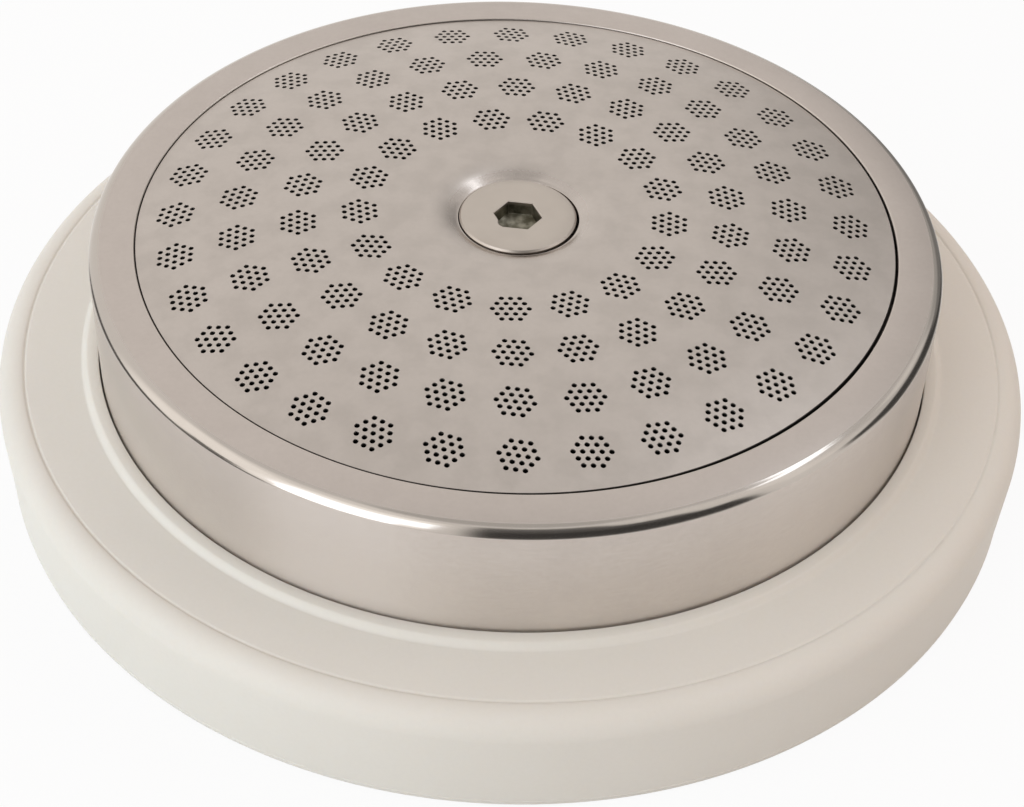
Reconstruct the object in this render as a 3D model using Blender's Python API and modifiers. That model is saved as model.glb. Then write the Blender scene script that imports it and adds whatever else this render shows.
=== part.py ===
"""Espresso shower screen with its silicone gasket, washer and clamp screw.

Everything is turned about the Z axis. The underside of the gasket lies on z = 0, and the
perforated plate faces up. All sizes are in metres.
"""

import math

import bmesh
import bpy
from mathutils import Matrix, Vector

# Facets round the large turned pieces, the plate and the small turned pieces
RING_SIDES = 72
PLATE_SIDES = 60
SMALL_SIDES = 24

# Facets across the rounded edges of the profiles
WELL_FLOOR_STEPS = 2
WELL_STEPS = 4
LIP_STEPS = 3
RIM_STEPS = 4
BEAD_STEPS = 5
SHOULDER_STEPS = 6

# Room left between pieces that touch on the real thing
SEAT_GAP = 0.0002

# Steel shell: RIM_WIDTH runs from the lip, beside the plate, to the outside of the wall
SHELL_RADIUS = 0.02525
SHELL_SHEET = 0.0005
SHELL_FOOT = 0.0006
RIM_WIDTH = 0.0027
LIP_RISE = 0.00006
LIP_ROUND = 0.00015
SHELF_WIDTH = 0.001

# The polished round between land and wall: its arc leaves a fine crease at both ends, where
# its surface leans by these angles, in degrees, from the upright
RIM_ROUND = 0.00085
RIM_ROUND_START = 12
RIM_ROUND_END = 72

# Perforated plate: PLATE_CREST is the height of its flat middle, and of the whole screen
PLATE_SHEET = 0.0005
PLATE_CREST = 0.01624
DOME_FLAT_RADIUS = 0.0098
DOME_ARC_RADIUS = 0.060
WELL_ROUND = 0.0008
WELL_FLOOR_ROUND = 0.0003

# Hole clusters: rings at an even pitch, each with more clusters than the one inside it
FIRST_RING_RADIUS = 0.00916
RING_PITCH = 0.00363
FIRST_RING_CLUSTERS = 17
CLUSTERS_ADDED_PER_RING = 5
FIRST_CLUSTER_ANGLE = math.radians(-157.1)
FIRST_CLUSTER_OFFSET = 0.00057
CLUSTER_TURN = math.radians(10.9)
CLUSTER_TURN_OFFSET = 0.00339
PATTERN_OFF_CENTRE = 0.00019
HOLE_DIAMETER = 0.0003
HOLE_PITCH = 0.000516
HOLES_FROM_CLUSTER_CENTRE = 2

# Clamp screw, M4 with a low head, and its washer
SCREW_DIAMETER = 0.004
SCREW_LENGTH = 0.012
SCREW_SINK = 0.00044
SCREW_TIP_CHAMFER = 0.0004
HEAD_DIAMETER = 0.007
HEAD_HEIGHT = 0.0015
HEAD_CHAMFER = 0.00018
SOCKET_ACROSS_FLATS = 0.0025
SOCKET_DEPTH = 0.0009
SOCKET_POINT_DEPTH = 0.0004
SOCKET_TURN = math.radians(-5.5)
WASHER_DIAMETER = 0.007
WASHER_THICKNESS = 0.0004
SHANK_CLEARANCE = 0.00025

# Silicone gasket: GASKET_WIDTH is that of its section, from the steel to the outside
GASKET_WIDTH = 0.006
GASKET_HEIGHT = 0.00705
GASKET_SHOULDER = 0.0015
GASKET_DRAFT = 0.00025
GASKET_FOOT_CHAMFER = 0.0003
BEAD_FLAT = 0.0005
BEAD_SLOPE_WIDTH = 0.0005
BEAD_RISE = 0.0004
CREASE_WIDTH = 0.0003
CREASE_DEPTH = 0.0001

# A cutter reaches past the piece it cuts by this much
CUT_MARGIN = 0.001

# Half the angle between two corners of a hexagon
HALF_HEXAGON = math.radians(30)

# Points closer than this are one, and edges sharper than this stay sharp in the shading
MERGE_DISTANCE = 0.00001
SHARP_ANGLE = math.radians(30)

# Materials: colour, roughness and metallic value
SATIN_STEEL = ("satin_steel", (0.52, 0.48, 0.44), 0.36, 1.0)
SCREW_STEEL = ("screw_steel", (0.58, 0.54, 0.50), 0.28, 1.0)
CREAM_SILICONE = ("cream_silicone", (0.70, 0.65, 0.57), 0.62, 0.0)


def clear_scene():
    """Remove every object, so that the model starts from nothing."""
    for old in list(bpy.data.objects):
        bpy.data.objects.remove(old, do_unlink=True)


def new_collection(name):
    collection = bpy.data.collections.new(name)
    bpy.context.scene.collection.children.link(collection)
    return collection


def make_material(finish):
    """A Principled material from a (name, colour, roughness, metallic) finish."""
    name, colour, roughness, metallic = finish
    material = bpy.data.materials.new(name)
    material.use_nodes = True
    shader = material.node_tree.nodes["Principled BSDF"]
    shader.inputs["Base Color"].default_value = (*colour, 1.0)
    shader.inputs["Roughness"].default_value = roughness
    shader.inputs["Metallic"].default_value = metallic
    return material


def arc(centre_r, centre_z, radius, start, end, steps):
    """Points on an arc of a profile, from one angle to another, both in degrees."""
    points = []
    for step in range(steps + 1):
        angle = math.radians(start + (end - start) * step / steps)
        points.append((centre_r + radius * math.cos(angle), centre_z + radius * math.sin(angle)))
    return points


def turned(name, profile, sides, closed):
    """Turn a profile of (radius, height) points about Z; it runs down the outer side."""
    mesh = bpy.data.meshes.new(name)
    edges = [(i, i + 1) for i in range(len(profile) - 1)]
    if closed:
        edges.append((len(profile) - 1, 0))
    mesh.from_pydata([(r, 0.0, z) for r, z in profile], edges, [])
    piece = bpy.data.objects.new(name, mesh)
    screw = piece.modifiers.new("turn", "SCREW")
    screw.axis = "Z"
    screw.angle = 2 * math.pi
    screw.steps = sides
    screw.render_steps = sides
    screw.use_merge_vertices = True
    screw.merge_threshold = MERGE_DISTANCE
    return piece


def give_sheet(piece, thickness):
    """Give a turned surface the thickness of its sheet, on its back."""
    solidify = piece.modifiers.new("sheet", "SOLIDIFY")
    solidify.thickness = thickness
    solidify.offset = -1
    solidify.use_even_offset = True


def cut(piece, cutter):
    boolean = piece.modifiers.new("cut_" + cutter.name, "BOOLEAN")
    boolean.operation = "DIFFERENCE"
    boolean.solver = "EXACT"
    boolean.object = cutter


def place_cutter(name, shape, cutters):
    """Make a cutter object from a bmesh, shown as wires and left out of the model."""
    mesh = bpy.data.meshes.new(name)
    shape.to_mesh(mesh)
    shape.free()
    cutter = bpy.data.objects.new(name, mesh)
    cutter.hide_render = True
    cutter.display_type = "WIRE"
    cutters.objects.link(cutter)
    return cutter


def finish(piece, material, collection):
    """Link a piece, apply its modifiers and shade its round faces smooth."""
    collection.objects.link(piece)
    bpy.context.view_layer.update()
    evaluated = piece.evaluated_get(bpy.context.evaluated_depsgraph_get())
    mesh = bpy.data.meshes.new_from_object(evaluated)
    mesh.name = piece.name
    piece.modifiers.clear()
    piece.data = mesh
    mesh.materials.clear()
    mesh.materials.append(material)
    mesh.shade_smooth()
    mesh.set_sharp_from_angle(angle=SHARP_ANGLE)


def lip_radius():
    return SHELL_RADIUS - RIM_WIDTH


def plate_edge_radius():
    return lip_radius() - SEAT_GAP


def shelf_inner_radius():
    return lip_radius() - SHELF_WIDTH


def dome_height(radius):
    """Height of the plate's top: flat in the middle, then an arc that falls to the edge."""
    reach = max(radius - DOME_FLAT_RADIUS, 0.0)
    return PLATE_CREST - DOME_ARC_RADIUS + math.sqrt(DOME_ARC_RADIUS ** 2 - reach ** 2)


def dome_slope(radius):
    """How steeply the plate's top falls at a radius, as an angle."""
    return math.asin(max(radius - DOME_FLAT_RADIUS, 0.0) / DOME_ARC_RADIUS)


def rim_height():
    """Height of the lip and the flat land beside it, a hair proud of the plate's edge."""
    return dome_height(plate_edge_radius()) + LIP_RISE


def cluster_reach():
    """From a cluster's centre to a corner of the hexagon round its outer holes."""
    corner_hole = HOLES_FROM_CLUSTER_CENTRE * HOLE_PITCH
    return corner_hole + HOLE_DIAMETER / 2 / math.cos(HALF_HEXAGON)


def ring_radii():
    """Radii of the rings of clusters, as many as fit inside the shelf under the plate."""
    room = shelf_inner_radius() - cluster_reach() - PATTERN_OFF_CENTRE - FIRST_RING_RADIUS
    return [FIRST_RING_RADIUS + ring * RING_PITCH for ring in range(math.floor(room / RING_PITCH) + 1)]


def cluster_places():
    """Place and turn of each cluster.

    The first clusters of the rings stand on one line that misses the pattern's middle by a
    little, and the hexagon turns with its ring in the same way. The whole pattern sits a
    hair off the axis, as punched sheets do.
    """
    places = []
    for ring, radius in enumerate(ring_radii()):
        count = FIRST_RING_CLUSTERS + ring * CLUSTERS_ADDED_PER_RING
        start = FIRST_CLUSTER_ANGLE + math.asin(FIRST_CLUSTER_OFFSET / radius)
        turn = CLUSTER_TURN + math.asin(CLUSTER_TURN_OFFSET / radius)
        for index in range(count):
            angle = start + 2 * math.pi * index / count
            x = radius * math.cos(angle) - PATTERN_OFF_CENTRE
            places.append((x, radius * math.sin(angle), angle + turn))
    return places


def head_top():
    return PLATE_CREST - SCREW_SINK


def head_underside():
    return head_top() - HEAD_HEIGHT


def washer_top():
    return head_underside() - SEAT_GAP


def well_floor():
    """Height of the well's floor, under the screw head and the washer."""
    return washer_top() - WASHER_THICKNESS - SEAT_GAP


def well_radius():
    return max(WASHER_DIAMETER, HEAD_DIAMETER) / 2 + SEAT_GAP


def plate_profile():
    """The plate's top, from the screw hole out over the well's edge to the rim.

    Between the rings of clusters the dome has one profile point, so that no window
    straddles a change of slope.
    """
    hole = SCREW_DIAMETER / 2 + SHANK_CLEARANCE
    wall = well_radius()
    floor = well_floor()
    profile = [(hole, floor)]
    inner_r = wall - WELL_FLOOR_ROUND
    profile += arc(inner_r, floor + WELL_FLOOR_ROUND, WELL_FLOOR_ROUND, -90, 0, WELL_FLOOR_STEPS)
    profile += arc(wall + WELL_ROUND, PLATE_CREST - WELL_ROUND, WELL_ROUND, 180, 90, WELL_STEPS)
    for radius in ring_radii()[:-1]:
        between = radius + RING_PITCH / 2
        profile.append((between, dome_height(between)))
    seat = shelf_inner_radius()
    profile.append((seat, dome_height(seat)))
    edge = plate_edge_radius()
    profile.append((edge, dome_height(edge)))
    return profile


def cluster_windows(cutters):
    """One straight six-sided punch for each cluster, as wide as its 19 holes together."""
    shape = bmesh.new()
    low = dome_height(plate_edge_radius()) - PLATE_SHEET - CUT_MARGIN
    high = PLATE_CREST + CUT_MARGIN
    for x, y, turn in cluster_places():
        bmesh.ops.create_cone(
            shape,
            cap_ends=True,
            segments=6,
            radius1=cluster_reach(),
            radius2=cluster_reach(),
            depth=high - low,
            matrix=Matrix.Translation((x, y, (low + high) / 2))
            @ Matrix.Rotation(turn, 4, "Z")
            @ hexagon_to_x(),
        )
    return place_cutter("cluster_punch", shape, cutters)


def hexagon_to_x():
    """Turn a six-sided primitive, whose first corner is on Y, so that a corner is on X."""
    return Matrix.Rotation(math.radians(90), 4, "Z")


def make_plate(collection, cutters, material):
    plate = turned("perforated_plate", plate_profile(), PLATE_SIDES, closed=False)
    give_sheet(plate, PLATE_SHEET)
    cut(plate, cluster_windows(cutters))
    finish(plate, material, collection)


def shelf_profile():
    """The hidden shelf under the plate's edge, parallel to the dome above it."""
    edge = plate_edge_radius()
    slope = dome_slope(edge)
    below_edge = dome_height(edge) - (PLATE_SHEET + SEAT_GAP) / math.cos(slope)
    outer_z = below_edge - (lip_radius() - edge) * math.tan(slope)
    inner_z = outer_z + SHELF_WIDTH * math.tan(slope)
    return [(shelf_inner_radius(), inner_z), (lip_radius(), outer_z)]


def sheet_back(corners, thickness):
    """The back of a bent sheet, from the corners of its front: each run moves by the thickness."""
    ahead = [Vector(b) - Vector(a) for a, b in zip(corners, corners[1:])]
    normals = [Vector((run.y, -run.x)).normalized() for run in ahead]
    before = [normals[0]] + normals
    after = normals + [normals[-1]]
    back = []
    for corner, one, other in zip(corners, before, after):
        mitre = (one + other) * thickness / (1 + one.dot(other))
        back.append((corner[0] + mitre.x, corner[1] + mitre.y))
    return back


def shell_profile():
    """The shell's section: shelf, lip, land, round edge and wall, then back up the inside."""
    top = rim_height()
    shelf = shelf_profile()
    foot = (SHELL_RADIUS, SHELL_FOOT)
    front = list(shelf)
    front += arc(lip_radius() + LIP_ROUND, top - LIP_ROUND, LIP_ROUND, 180, 90, LIP_STEPS)
    start, end = 90 - RIM_ROUND_START, 90 - RIM_ROUND_END
    centre_r = SHELL_RADIUS - RIM_ROUND * math.cos(math.radians(end))
    centre_z = top - RIM_ROUND * math.sin(math.radians(start))
    front += arc(centre_r, centre_z, RIM_ROUND, start, end, RIM_STEPS)
    front.append(foot)
    corners = shelf + [(lip_radius(), top), (SHELL_RADIUS, top), foot]
    return front + sheet_back(corners, SHELL_SHEET)[::-1]


def make_shell(collection, material):
    shell = turned("rim_shell", shell_profile(), RING_SIDES, closed=True)
    finish(shell, material, collection)


def bead_profile(inner):
    """The raised band that grips the steel: flat on top, then a soft slope down to the land."""
    crest = GASKET_HEIGHT + BEAD_RISE
    profile = [(inner, crest)]
    for step in range(BEAD_STEPS + 1):
        across = step / BEAD_STEPS
        fall = BEAD_RISE * (1 - math.cos(math.pi * across)) / 2
        profile.append((inner + BEAD_FLAT + BEAD_SLOPE_WIDTH * across, crest - fall))
    return profile


def gasket_profile():
    """The gasket's section, from the inner edge over the top, down the outside and back.

    A fine crease runs round where the land meets the shoulder, and the outer wall narrows
    towards its foot, as a moulding does.
    """
    inner = SHELL_RADIUS + SEAT_GAP
    outer = inner + GASKET_WIDTH
    foot = outer - GASKET_DRAFT
    shoulder_r = outer - GASKET_SHOULDER
    shoulder_z = GASKET_HEIGHT - GASKET_SHOULDER
    profile = bead_profile(inner)
    profile.append((shoulder_r - CREASE_WIDTH, GASKET_HEIGHT))
    profile.append((shoulder_r - CREASE_WIDTH / 2, GASKET_HEIGHT - CREASE_DEPTH))
    profile += arc(shoulder_r, shoulder_z, GASKET_SHOULDER, 90, 0, SHOULDER_STEPS)
    profile.append((foot, GASKET_FOOT_CHAMFER))
    profile.append((foot - GASKET_FOOT_CHAMFER, 0.0))
    profile.append((inner + GASKET_FOOT_CHAMFER, 0.0))
    profile.append((inner, GASKET_FOOT_CHAMFER))
    return profile


def make_gasket(collection, material):
    gasket = turned("silicone_gasket", gasket_profile(), RING_SIDES, closed=True)
    finish(gasket, material, collection)


def screw_profile():
    """The screw's outline, from the middle of the head down to the middle of the tip."""
    head = HEAD_DIAMETER / 2
    shank = SCREW_DIAMETER / 2
    top = head_top()
    under = head_underside()
    tip = under - SCREW_LENGTH
    return [
        (0.0, top),
        (head - HEAD_CHAMFER, top),
        (head, top - HEAD_CHAMFER),
        (head, under),
        (shank, under),
        (shank, tip + SCREW_TIP_CHAMFER),
        (shank - SCREW_TIP_CHAMFER, tip),
        (0.0, tip),
    ]


def socket_cutter(cutters):
    """A hexagon that ends in the cone left by the drill."""
    across_corners = SOCKET_ACROSS_FLATS / math.cos(HALF_HEXAGON)
    floor = head_top() - SOCKET_DEPTH
    high = head_top() + CUT_MARGIN
    shape = bmesh.new()
    bmesh.ops.create_cone(
        shape,
        cap_ends=True,
        segments=6,
        radius1=across_corners / 2,
        radius2=across_corners / 2,
        depth=high - floor,
        matrix=Matrix.Translation((0.0, 0.0, (high + floor) / 2))
        @ Matrix.Rotation(SOCKET_TURN, 4, "Z")
        @ hexagon_to_x(),
    )
    return place_cutter("socket_key", shape, cutters)


def drill_point_cutter(cutters):
    """The cone below the socket, which starts half way up the hexagon."""
    floor = head_top() - SOCKET_DEPTH
    top = floor + SOCKET_DEPTH / 2
    radius = SOCKET_ACROSS_FLATS / 2
    tip = floor - SOCKET_POINT_DEPTH
    profile = [(0.0, top), (radius, top), (radius, floor), (0.0, tip)]
    cone = turned("drill_point", profile, SMALL_SIDES, closed=False)
    cone.hide_render = True
    cone.display_type = "WIRE"
    cutters.objects.link(cone)
    return cone


def make_screw(collection, cutters, material):
    screw = turned("clamp_screw", screw_profile(), SMALL_SIDES, closed=False)
    cut(screw, socket_cutter(cutters))
    cut(screw, drill_point_cutter(cutters))
    finish(screw, material, collection)


def make_washer(collection, material):
    inner = SCREW_DIAMETER / 2 + SHANK_CLEARANCE
    outer = WASHER_DIAMETER / 2
    top = washer_top()
    bottom = top - WASHER_THICKNESS
    profile = [(inner, top), (outer, top), (outer, bottom), (inner, bottom)]
    washer = turned("screw_washer", profile, SMALL_SIDES, closed=True)
    finish(washer, material, collection)


def main():
    clear_scene()
    model = new_collection("espresso_shower_screen")
    cutters = new_collection("cutters")
    steel = make_material(SATIN_STEEL)
    make_gasket(model, make_material(CREAM_SILICONE))
    make_shell(model, steel)
    make_plate(model, cutters, steel)
    screw_steel = make_material(SCREW_STEEL)
    make_washer(model, screw_steel)
    make_screw(model, cutters, screw_steel)


main()
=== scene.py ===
# %% [markdown]
# # An espresso shower screen in its gasket
#
# The object is small: a steel cup 50 mm across with a domed sheet full of fine holes, held by
# one low screw, and a cream silicone ring round its foot. The solids of the five pieces come
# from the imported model. This script gives each of them its fine surface and its finish, and
# sets up the table, the lights and the camera.

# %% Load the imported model
import math

import bpy
import numpy as np
from mathutils import Matrix, Vector
from mathutils.geometry import delaunay_2d_cdt


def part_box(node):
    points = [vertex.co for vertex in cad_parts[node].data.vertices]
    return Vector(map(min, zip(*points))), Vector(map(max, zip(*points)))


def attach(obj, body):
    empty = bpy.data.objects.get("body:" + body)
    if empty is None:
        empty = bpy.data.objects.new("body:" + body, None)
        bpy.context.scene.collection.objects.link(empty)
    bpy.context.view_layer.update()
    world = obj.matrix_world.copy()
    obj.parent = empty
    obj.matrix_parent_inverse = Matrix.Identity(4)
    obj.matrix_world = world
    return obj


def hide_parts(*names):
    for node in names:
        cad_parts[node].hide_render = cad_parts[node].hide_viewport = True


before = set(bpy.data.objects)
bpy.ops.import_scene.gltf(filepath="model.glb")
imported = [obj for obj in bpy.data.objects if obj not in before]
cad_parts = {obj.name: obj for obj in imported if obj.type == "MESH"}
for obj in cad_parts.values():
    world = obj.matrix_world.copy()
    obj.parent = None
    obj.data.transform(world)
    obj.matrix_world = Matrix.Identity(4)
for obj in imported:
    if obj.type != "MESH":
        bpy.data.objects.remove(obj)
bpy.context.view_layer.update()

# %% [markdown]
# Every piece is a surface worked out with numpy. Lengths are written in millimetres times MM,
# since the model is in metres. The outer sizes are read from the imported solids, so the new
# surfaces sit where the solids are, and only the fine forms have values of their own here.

MM = 0.001

GASKET_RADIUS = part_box("silicone_gasket")[1].x
SHELL_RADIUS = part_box("rim_shell")[1].x
SHELL_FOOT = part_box("rim_shell")[0].z
LIP_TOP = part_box("rim_shell")[1].z
PLATE_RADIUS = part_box("perforated_plate")[1].x
PLATE_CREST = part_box("perforated_plate")[1].z
HEAD_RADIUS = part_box("clamp_screw")[1].x
HEAD_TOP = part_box("clamp_screw")[1].z
SCREW_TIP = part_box("clamp_screw")[0].z
WASHER_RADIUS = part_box("screw_washer")[1].x
WASHER_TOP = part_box("screw_washer")[1].z
WASHER_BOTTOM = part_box("screw_washer")[0].z
print(f"gasket {2 * GASKET_RADIUS / MM:.1f} mm, cup {2 * SHELL_RADIUS / MM:.1f} mm across")

# %% [markdown]
# ## The camera
#
# It looks down at the plate from 38 degrees, from five inches away, which is why the near holes
# look larger than the far ones. It stands on the -Y side and first points at the middle of the
# hole pattern. Then it pans, tilts and rolls a little, so that the frame cuts the gasket as in
# the photograph.

# %% Camera
PATTERN_OFF_CENTRE = 0.19 * MM
AIM_HEIGHT = 15.38 * MM
CAMERA_DISTANCE = 127.35 * MM
CAMERA_ELEVATION = math.radians(37.747)
CAMERA_PAN = -0.0023368
CAMERA_TILT = -0.0855471
CAMERA_ROLL = 0.0409853
LENS = 75.11

aim = Vector((-PATTERN_OFF_CENTRE, 0.0, AIM_HEIGHT))
away = Vector((0.0, -math.cos(CAMERA_ELEVATION), math.sin(CAMERA_ELEVATION)))
camera_data = bpy.data.cameras.new("photo_camera")
camera_data.lens = LENS
camera_data.sensor_width = 36.0
camera_data.sensor_fit = "HORIZONTAL"
camera_data.clip_start = 1 * MM
camera = bpy.data.objects.new("photo_camera", camera_data)
camera.matrix_world = (
    Matrix.Translation(aim + away * CAMERA_DISTANCE)
    @ Matrix.Rotation(math.pi / 2 - CAMERA_ELEVATION, 4, "X")
    @ Matrix.Rotation(CAMERA_PAN, 4, "Y")
    @ Matrix.Rotation(CAMERA_TILT, 4, "X")
    @ Matrix.Rotation(CAMERA_ROLL, 4, "Z")
)
bpy.context.scene.collection.objects.link(camera)
bpy.context.scene.camera = camera
print("camera at", [round(value / MM, 1) for value in camera.location])

# %% [markdown]
# ## Writing shader maths as expressions
#
# A material's maths reads best as a formula. The class Signal wraps one output of a node, and
# its operators add Math nodes: `1 - mask * 0.5` becomes two nodes. The class Nodes holds a node
# tree, of a material or of the world, and has one method that adds any other node from its
# type, its settings and its inputs. Colours are mixed by a Mix node, since a Math node would
# turn them grey. A Finish is the tree of a material with one Principled shader.

# %% Expressions for shader values
class Signal:
    """An output of a node, on which + - * ** and the named functions add nodes."""

    def __init__(self, nodes, socket):
        self.nodes = nodes
        self.socket = socket

    def math(self, operation, first, second):
        return self.nodes.node("ShaderNodeMath", {"operation": operation}, {0: first, 1: second})

    def __add__(self, other):
        return self.math("ADD", self, other)

    def __radd__(self, other):
        return self.math("ADD", other, self)

    def __sub__(self, other):
        return self.math("SUBTRACT", self, other)

    def __rsub__(self, other):
        return self.math("SUBTRACT", other, self)

    def __mul__(self, other):
        return self.math("MULTIPLY", self, other)

    def __rmul__(self, other):
        return self.math("MULTIPLY", other, self)

    def __pow__(self, other):
        return self.math("POWER", self, other)

    def at_least(self, other):
        """The larger of the two."""
        return self.math("MAXIMUM", self, other)

    def rises(self, low, high):
        """0 below low, 1 above high, with a smooth step between."""
        settings = {"interpolation_type": "SMOOTHSTEP"}
        return self.nodes.node("ShaderNodeMapRange", settings, {0: self, 1: low, 2: high})


class Nodes:
    """A node tree, whose nodes come from the one method below."""

    def __init__(self, tree):
        self.tree = tree

    def set(self, socket, value):
        if isinstance(value, Signal):
            self.tree.links.new(value.socket, socket)
        elif isinstance(value, tuple) and len(value) == 3 and socket.type == "RGBA":
            socket.default_value = (*value, 1.0)
        else:
            socket.default_value = value

    def node(self, kind, settings=None, inputs=None, output=0):
        """Add a node: settings first, then each input's value or link; gives one output."""
        new = self.tree.nodes.new(kind)
        for label, value in (settings or {}).items():
            setattr(new, label, value)
        for label, value in (inputs or {}).items():
            self.set(new.inputs[label], value)
        return Signal(self, new.outputs[output])

    def shows(self, shader):
        """The last shader is what the surface shows."""
        self.set(self.tree.nodes["Material Output"].inputs["Surface"], shader)

    def seen_directly(self):
        """1 for rays of the camera, of mirrors and of glass, otherwise 0."""
        path = self.node("ShaderNodeLightPath", output="Is Camera Ray")
        outputs = path.socket.node.outputs
        mirror, glass = (Signal(self, outputs[label]) for label in ("Is Glossy Ray", "Is Transmission Ray"))
        return path.at_least(mirror).at_least(glass)

    def place(self):
        """The point on the piece, in metres."""
        return self.node("ShaderNodeTexCoord", output="Object")

    def axes(self):
        """Distance from the axis, and height, of the point on the piece."""
        split = self.node("ShaderNodeSeparateXYZ", {}, {0: self.place()})
        x, y, z = (Signal(self, output) for output in split.socket.node.outputs)
        return (x * x + y * y) ** 0.5, z

    def noise(self, size, detail=2.0, stretch=None):
        """Smooth noise from 0 to 1 whose blots are about size across."""
        where = self.place()
        if stretch:
            where = self.node("ShaderNodeMapping", {}, {"Vector": where, "Scale": stretch})
        return self.node("ShaderNodeTexNoise", {}, {"Vector": where, "Scale": 1 / size, "Detail": detail})

    def mix(self, factor, first, second):
        """A colour between two colours."""
        settings = {"data_type": "RGBA"}
        return self.node("ShaderNodeMix", settings, {0: factor, 6: first, 7: second}, output=2)

    def bump(self, height, distance):
        """A normal that follows a height, which is worth the distance where it is 1."""
        return self.node("ShaderNodeBump", {}, {"Height": height, "Distance": distance})


class Finish(Nodes):
    """A material with one Principled shader."""

    def __init__(self, name, **constants):
        self.material = bpy.data.materials.new(name)
        self.material.use_nodes = True
        super().__init__(self.material.node_tree)
        self.shader = self.tree.nodes["Principled BSDF"]
        self.feed(**constants)

    def feed(self, **values):
        """Give the shader's inputs a constant, or a link where it changes over the surface."""
        for label, value in values.items():
            label = label.replace("_", " ").title().replace("Ior", "IOR")
            self.set(self.shader.inputs[label], value)


# %% [markdown]
# ## Surfaces that are turned about one axis
#
# All five pieces were turned, pressed or moulded round one axis. A turned piece is a grid: its
# rows are rings that follow the section, and its columns are directions round the axis. The
# section runs out over the top, down the outer side and back underneath, and then every face
# points outwards.

# %% Rings to a mesh
def directions(columns, start=0.0):
    """Evenly spaced angles round the axis."""
    return start + np.arange(columns) * 2 * np.pi / columns


def rings(section, angles):
    """Point (i, j) of the grid is (r_i cos a_j, r_i sin a_j, z_i); r may change round the ring."""
    radius = np.stack([np.broadcast_to(r, angles.shape) for r, z in section])
    height = np.stack([np.broadcast_to(z, angles.shape) for r, z in section])
    return np.stack([radius * np.cos(angles), radius * np.sin(angles), height], axis=-1)


def ring_faces(rows, columns, first=0, closed=False):
    """Faces between each ring and the next, and from the last to the first if closed."""
    last = rows if closed else rows - 1
    i, j = np.meshgrid(np.arange(last), np.arange(columns), indexing="ij")
    down, along = (i + 1) % rows, (j + 1) % columns
    quads = np.stack([i * columns + j, down * columns + j, down * columns + along, i * columns + along])
    return first + quads.reshape(4, -1).T


def add_piece(name, points, faces, finishes, sharp=35.0):
    """Put points and faces into a mesh piece, smooth apart from its sharp edges."""
    mesh = bpy.data.meshes.new(name)
    mesh.from_pydata(np.reshape(points, (-1, 3)).tolist(), [], [list(face) for face in faces])
    mesh.validate()
    mesh.shade_smooth()
    mesh.set_sharp_from_angle(angle=math.radians(sharp))
    for finish in finishes:
        mesh.materials.append(finish.material)
    piece = bpy.data.objects.new(name, mesh)
    bpy.context.scene.collection.objects.link(piece)
    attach(piece, "root")
    print(f"{name}: {len(mesh.vertices)} points, {len(mesh.polygons)} faces")
    return piece


def arc(centre, radius, start, end, steps):
    """Section points (r, z) on an arc between two angles in degrees."""
    angles = np.radians(np.linspace(start, end, steps + 1))
    return [(centre[0] + radius * math.cos(a), centre[1] + radius * math.sin(a)) for a in angles]


# %% [markdown]
# ## The gasket
#
# Silicone is pressed in a two-part mould. Next to the steel it has a raised band that grips
# the cup, nearly flat on top, with a soft slope down to the flat land for the basket's rim.
# Then come a faint crease, a round shoulder and a wall that narrows a little towards the foot.
# The mould's halves meet just above the foot and leave a hair of flash there. Since the whole
# ring is one section carried round, it is one closed loop of rings.

# %% Gasket surface
RING_COLUMNS = 288
GASKET_INNER = SHELL_RADIUS + 0.10 * MM
GASKET_TOP = 7.05 * MM
BEAD_ROUND = 0.08 * MM
BEAD_FLAT_END = SHELL_RADIUS + 0.72 * MM
BEAD_END = SHELL_RADIUS + 1.22 * MM
BEAD_RISE = 0.38 * MM
BEAD_SWELL = 0.02 * MM
SHOULDER = 1.5 * MM
CREASE_WIDTH = 0.3 * MM
CREASE_DEPTH = 0.06 * MM
FOOT_RADIUS = GASKET_RADIUS - 0.25 * MM
PARTING_HEIGHT = 0.45 * MM
FLASH = 0.05 * MM
FOOT_CHAMFER = 0.3 * MM


def bead():
    """The raised band: a small round, a slightly swollen top, then half a wave of a cosine."""
    crest = GASKET_TOP + BEAD_RISE
    points = arc((GASKET_INNER + BEAD_ROUND, crest - BEAD_ROUND), BEAD_ROUND, 180, 90, 4)
    start = GASKET_INNER + BEAD_ROUND
    for across in np.linspace(0, 1, 7)[1:-1]:
        swell = BEAD_SWELL * math.sin(math.pi * across)
        points.append((start + (BEAD_FLAT_END - start) * across, crest + swell))
    for across in np.linspace(0, 1, 11):
        fall = BEAD_RISE * (1 - math.cos(math.pi * across)) / 2
        points.append((BEAD_FLAT_END + (BEAD_END - BEAD_FLAT_END) * across, crest - fall))
    return points


def crease(start, width, depth, steps=8):
    """A rounded groove in the top: one wave of a cosine."""
    across = np.linspace(0, 1, steps + 1)
    drop = depth * (1 - np.cos(2 * np.pi * across)) / 2
    return [(start + width * a, GASKET_TOP - d) for a, d in zip(across, drop)]


def gasket_section():
    shoulder_r = GASKET_RADIUS - SHOULDER
    section = bead() + crease(shoulder_r - CREASE_WIDTH, CREASE_WIDTH, CREASE_DEPTH)[:-1]
    section += arc((shoulder_r, GASKET_TOP - SHOULDER), SHOULDER, 90, 0, 16)
    section.append((FOOT_RADIUS + FLASH / 2, PARTING_HEIGHT + FLASH))
    section.append((FOOT_RADIUS + FLASH, PARTING_HEIGHT + FLASH / 2))
    section.append((FOOT_RADIUS, PARTING_HEIGHT))
    section.append((FOOT_RADIUS - FLASH / 2, FOOT_CHAMFER / 2))
    section.append((FOOT_RADIUS - FOOT_CHAMFER, 0.0))
    section.append((GASKET_INNER + FOOT_CHAMFER, 0.0))
    section.append((GASKET_INNER, FOOT_CHAMFER))
    return section


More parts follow.
